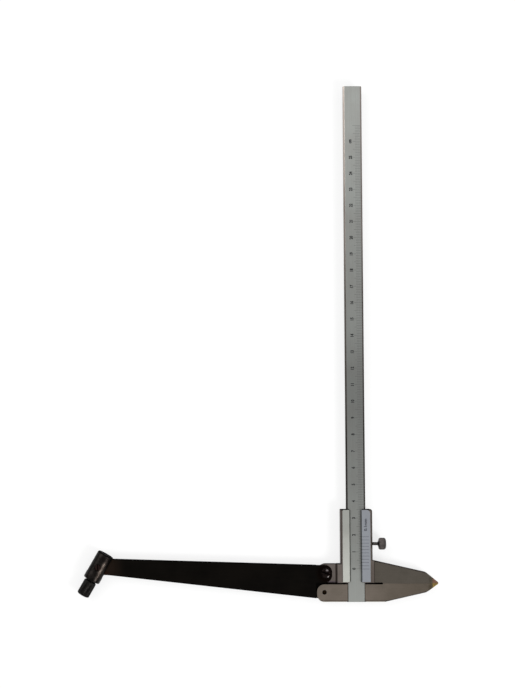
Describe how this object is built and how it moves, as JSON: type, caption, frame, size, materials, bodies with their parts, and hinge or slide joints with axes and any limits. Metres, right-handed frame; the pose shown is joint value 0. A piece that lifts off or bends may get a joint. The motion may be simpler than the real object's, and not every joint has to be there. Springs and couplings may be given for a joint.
{
  "type": "marking caliper",
  "caption": "Vernier marking caliper: chamfered graduated beam, pointed marking jaws, sliding vernier head with lock screw, and a tapered folding side arm with a swivelling clamp barrel.",
  "frame": {"origin": "centre of the beam's foot end face, at half the beam's width and thickness", "axes": "+X to the marking jaws, +Y along the beam from the foot to the far end, +Z out of the graduated face; the tool lies on its back"},
  "size_m": [0.2153, 0.3144, 0.0104],
  "materials": {
    "satin_chrome": "satin chrome, finely ground along the beam",
    "ground_steel": "ground and stained brown-grey steel",
    "gold_tip": "gold-coloured hardened tip with a heat tint",
    "pale_satin": "pale matt chrome",
    "blue_satin": "bluish matt chrome",
    "spring_steel": "rolled spring steel",
    "bright_steel": "turned bright steel",
    "black_oxide": "blackened steel with faint scratches",
    "worn_black": "blackened steel worn bright on its edges"
  },
  "bodies": {
    "beam": {"beam": "satin_chrome", "fixed_jaw": "ground_steel", "fixed_jaw_tip": "gold_tip", "jaw_rivet_1": "bright_steel", "jaw_rivet_2": "bright_steel", "jaw_rivet_3": "bright_steel", "beam_stop_screw": "bright_steel"},
    "slider": {"slider_body": "ground_steel", "moving_jaw_tip": "gold_tip", "guide_plate": "pale_satin", "vernier_plate": "blue_satin", "leaf_spring": "spring_steel", "arm_pivot_screw": "worn_black"},
    "lock_screw": {"lock_screw": "bright_steel"},
    "arm": {"arm": "black_oxide", "arm_washer": "worn_black"},
    "barrel": {"clamp_barrel": "worn_black", "barrel_pivot_screw": "bright_steel"},
    "clamp_knob": {"clamp_stem": "bright_steel", "clamp_knob": "worn_black"}
  },
  "joints": [
    {"name": "slider_travel", "type": "slide", "parent": "beam", "child": "slider", "axis": [0, 1, 0], "range_m": [0, 0.25]},
    {"name": "lock_screw_turn", "type": "hinge", "parent": "slider", "child": "lock_screw", "pos_m": [0.00975, 0.03425, 0], "axis": [1, 0, 0], "range_deg": [0, 360]},
    {"name": "arm_fold", "type": "hinge", "parent": "slider", "child": "arm", "pos_m": [-0.01815, 0.01698, -0.0008], "axis": [0, 0, -1], "range_deg": [0, 80]},
    {"name": "barrel_swivel", "type": "hinge", "parent": "arm", "child": "barrel", "pos_m": [-0.15395, 0.02057, -0.0008], "axis": [0, 0, 1], "range_deg": [-140, 22]},
    {"name": "clamp_knob_turn", "type": "hinge", "parent": "barrel", "child": "clamp_knob", "pos_m": [-0.15828, 0.01292, -0.0008], "axis": [-0.4924, -0.8704, 0], "range_deg": [0, 360]}
  ]
}
